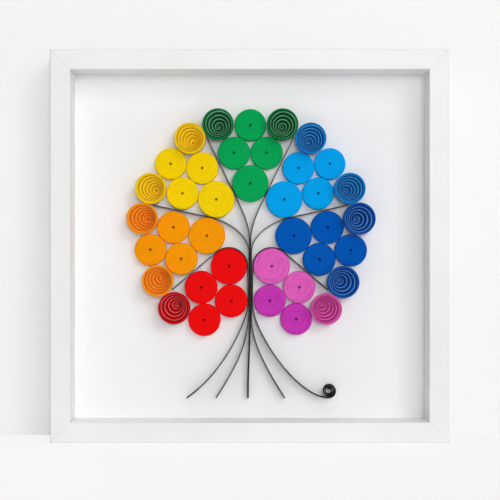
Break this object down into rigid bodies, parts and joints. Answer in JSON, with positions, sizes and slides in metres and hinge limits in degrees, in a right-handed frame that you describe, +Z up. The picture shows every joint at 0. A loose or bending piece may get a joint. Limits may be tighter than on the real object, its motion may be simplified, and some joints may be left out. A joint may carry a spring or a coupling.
{
  "type": "framed quilled paper art",
  "caption": "White box frame holding a tree of rolled paper coils in seven colours, with branches, trunk and roots of dark paper strips on edge, one root ending in a scroll.",
  "frame": {"origin": "middle of the underside of the bottom rail, halfway through the whole depth", "axes": "+Z up, +X to the right as seen from the front, +Y to the back"},
  "size_m": [0.2504, 0.0344, 0.2466],
  "materials": {
    "paper_green": "dyed paper, matte",
    "paper_yellow": "dyed paper, matte",
    "paper_sky": "dyed paper, matte",
    "paper_orange": "dyed paper, matte",
    "paper_blue": "dyed paper, matte",
    "paper_red": "dyed paper, matte",
    "paper_pink": "dyed paper, matte",
    "paper_dark": "dark paper, matte",
    "card_white": "smooth white card",
    "painted_frame": "satin white paint",
    "back_board": "bare fibre board",
    "steel": "bright steel",
    "hanger_steel": "brass-plated steel"
  },
  "bodies": {
    "root": {"back_panel": "back_board", "back_points": "steel", "backing_card": "card_white", "blue_cup_a": "paper_blue", "blue_cup_b": "paper_blue", "blue_inner_a_coil": "paper_blue", "blue_inner_b_coil": "paper_blue", "blue_outer_coil": "paper_blue", "blue_tip_coil": "paper_blue", "corner_v_nails": "steel", "frame_bottom": "painted_frame", "frame_left": "painted_frame", "frame_right": "painted_frame", "frame_top": "painted_frame", "green_cup_a": "paper_green", "green_cup_b": "paper_green", "green_inner_a_coil": "paper_green", "green_inner_b_coil": "paper_green", "green_outer_coil": "paper_green", "green_tip_coil": "paper_green", "hanger": "hanger_steel", "hanger_nails": "hanger_steel", "orange_cup_a": "paper_orange", "orange_cup_b": "paper_orange", "orange_inner_a_coil": "paper_orange", "orange_inner_b_coil": "paper_orange", "orange_outer_coil": "paper_orange", "orange_tip_coil": "paper_orange", "pink_cup_a": "paper_pink", "pink_inner_a_coil": "paper_pink", "pink_inner_b_coil": "paper_pink", "pink_outer_coil": "paper_pink", "pink_tip_coil": "paper_pink", "red_cup_a": "paper_red", "red_inner_a_coil": "paper_red", "red_inner_b_coil": "paper_red", "red_outer_coil": "paper_red", "red_tip_coil": "paper_red", "sky_cup_a": "paper_sky", "sky_cup_b": "paper_sky", "sky_inner_a_coil": "paper_sky", "sky_inner_b_coil": "paper_sky", "sky_outer_coil": "paper_sky", "sky_tip_coil": "paper_sky", "strip_left_low": "paper_dark", "strip_left_middle": "paper_dark", "strip_left_top": "paper_dark", "strip_right_low": "paper_dark", "strip_right_middle": "paper_dark", "strip_right_top": "paper_dark", "yellow_cup_a": "paper_yellow", "yellow_cup_b": "paper_yellow", "yellow_inner_a_coil": "paper_yellow", "yellow_inner_b_coil": "paper_yellow", "yellow_outer_coil": "paper_yellow", "yellow_tip_coil": "paper_yellow"}
  },
  "joints": []
}
